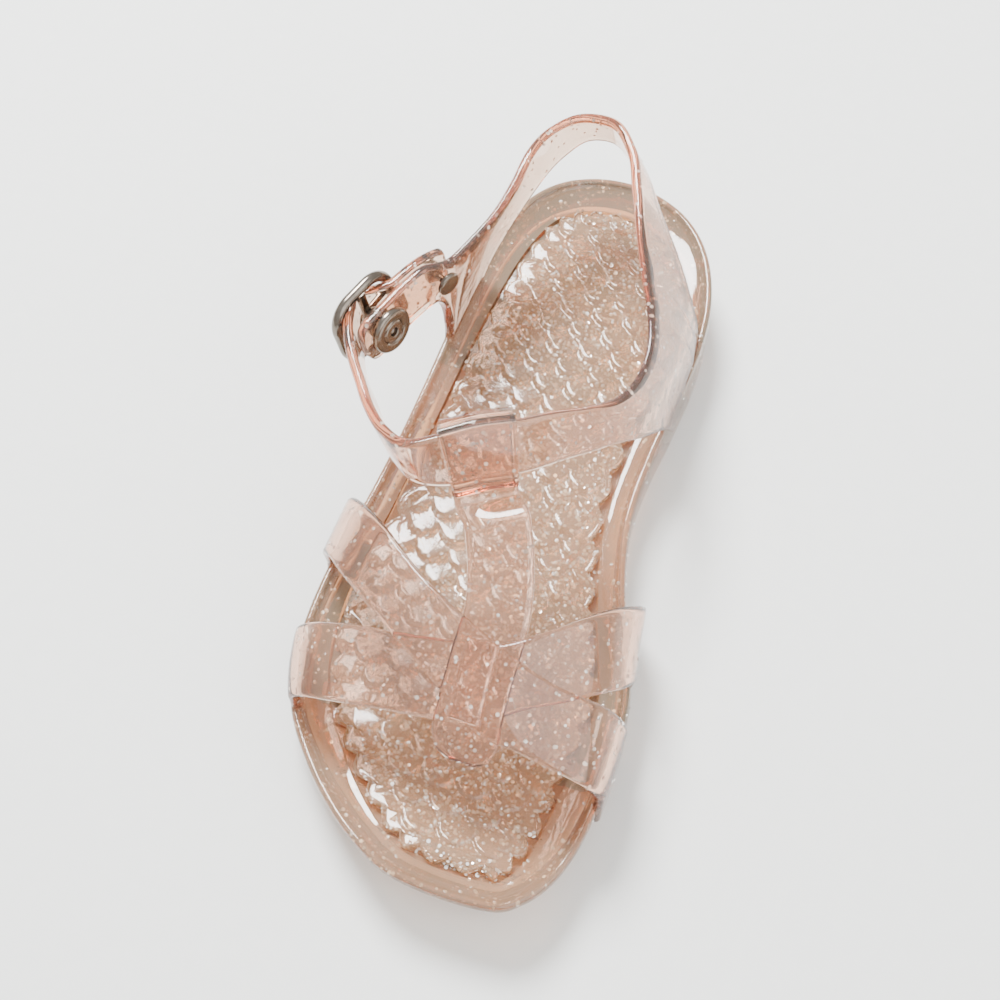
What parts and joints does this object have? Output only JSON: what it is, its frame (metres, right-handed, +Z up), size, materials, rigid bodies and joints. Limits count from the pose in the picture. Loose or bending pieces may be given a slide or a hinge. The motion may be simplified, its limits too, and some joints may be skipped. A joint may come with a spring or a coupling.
{
  "type": "jelly sandal",
  "caption": "Child's jelly sandal for the right foot: clear peach vinyl sole and footbed, crossed front straps, strap round the heel and over the instep with a metal buckle.",
  "frame": {"origin": "middle of the whole sandal's box, on the floor it stands on", "axes": "+Y from toe to heel, +Z up from the floor, +X towards the inner (big toe) side of the right foot"},
  "size_m": [0.0772, 0.163, 0.0526],
  "materials": {
    "clear_vinyl": "clear peach, glossy",
    "glitter_vinyl": "clear peach with silver glitter",
    "strap_vinyl": "clear peach with silver glitter, glossy",
    "nickel": "dark polished nickel plate"
  },
  "bodies": {
    "root": {"sole": "clear_vinyl", "footbed": "glitter_vinyl", "vamp_straps": "strap_vinyl", "ankle_strap": "strap_vinyl", "buckle_frame": "nickel", "buckle_prong": "nickel", "buckle_rivet": "nickel", "tail_stud": "nickel"}
  },
  "joints": []
}
